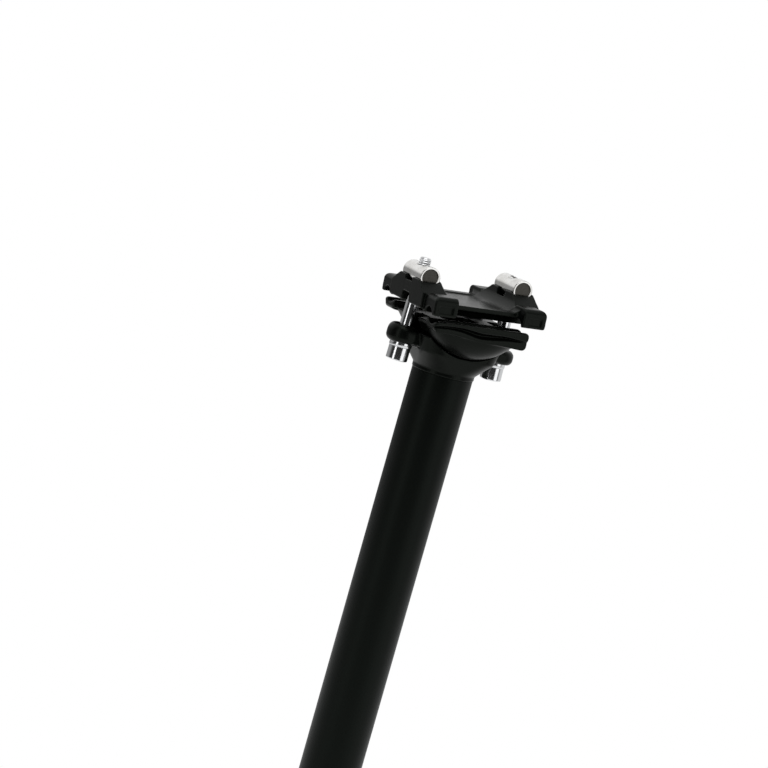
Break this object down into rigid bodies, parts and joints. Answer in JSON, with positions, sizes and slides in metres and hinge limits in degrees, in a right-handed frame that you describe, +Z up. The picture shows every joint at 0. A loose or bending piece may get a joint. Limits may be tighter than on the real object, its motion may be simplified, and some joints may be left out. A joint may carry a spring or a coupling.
{
  "type": "bicycle seatpost",
  "caption": "Rigid bicycle seatpost: a straight tube with a forged head and a tilting bolted clamp that grips the rails of a saddle.",
  "frame": {"origin": "centre of the tube's lower end, on the tube's axis", "axes": "+Z up the tube's axis to the clamp, +X the riding direction, +Y the rider's left"},
  "size_m": [0.0616, 0.055, 0.3698],
  "materials": {
    "tube": "black anodised, matt",
    "head": "black painted forging, satin",
    "clamp": "black painted forging, satin",
    "fastener": "bright plated steel",
    "nut": "bright plated steel, turned"
  },
  "bodies": {
    "post": {"post_tube": "tube", "post_head": "head"},
    "cradle": {"lower_cradle": "clamp"},
    "upper_clamp": {"upper_clamp": "clamp"},
    "front_nut": {"front_barrel_nut": "nut"},
    "rear_nut": {"rear_barrel_nut": "nut"},
    "front_washer": {"front_washer": "fastener"},
    "rear_washer": {"rear_washer": "fastener"},
    "front_bolt": {"front_bolt": "fastener"},
    "rear_bolt": {"rear_bolt": "fastener"}
  },
  "joints": [
    {"name": "clamp_tilt", "type": "hinge", "parent": "post", "child": "cradle", "pos_m": [0, 0, 0.3578], "axis": [0, 1, 0], "range_deg": [-8, 4]},
    {"name": "clamp_open", "type": "slide", "parent": "cradle", "child": "upper_clamp", "axis": [0.01, 0, 1], "range_m": [0, 0.004]},
    {"name": "front_nut_swivel", "type": "hinge", "parent": "upper_clamp", "child": "front_nut", "pos_m": [0.02287, 0, 0.36162], "axis": [0, 1, 0], "range_deg": [-3.75, 7.31]},
    {"name": "front_bolt_swing", "type": "hinge", "parent": "post", "child": "front_washer", "pos_m": [0.0235, 0, 0.32413], "axis": [0, 1, 0], "range_deg": [-0.99, 0.55]},
    {"name": "front_bolt_turn", "type": "hinge", "parent": "front_washer", "child": "front_bolt", "pos_m": [0.0235, 0, 0.32413], "axis": [-0.0168, 0, 0.9999], "continuous": true},
    {"name": "rear_nut_swivel", "type": "hinge", "parent": "upper_clamp", "child": "rear_nut", "pos_m": [-0.02199, 0, 0.36515], "axis": [0, 1, 0], "range_deg": [-3.63, 7.07]},
    {"name": "rear_bolt_swing", "type": "hinge", "parent": "post", "child": "rear_washer", "pos_m": [-0.0235, 0, 0.32413], "axis": [0, 1, 0], "range_deg": [-1.23, 0.67]},
    {"name": "rear_bolt_turn", "type": "hinge", "parent": "rear_washer", "child": "rear_bolt", "pos_m": [-0.0235, 0, 0.32413], "axis": [0.0368, 0, 0.9993], "continuous": true}
  ],
  "couplings": [
    {"joint": "front_nut_swivel", "follows": "clamp_tilt", "ratio": -0.8883},
    {"joint": "front_bolt_swing", "follows": "clamp_tilt", "ratio": 0.1117},
    {"joint": "rear_nut_swivel", "follows": "clamp_tilt", "ratio": -0.8583},
    {"joint": "rear_bolt_swing", "follows": "clamp_tilt", "ratio": 0.1417}
  ]
}
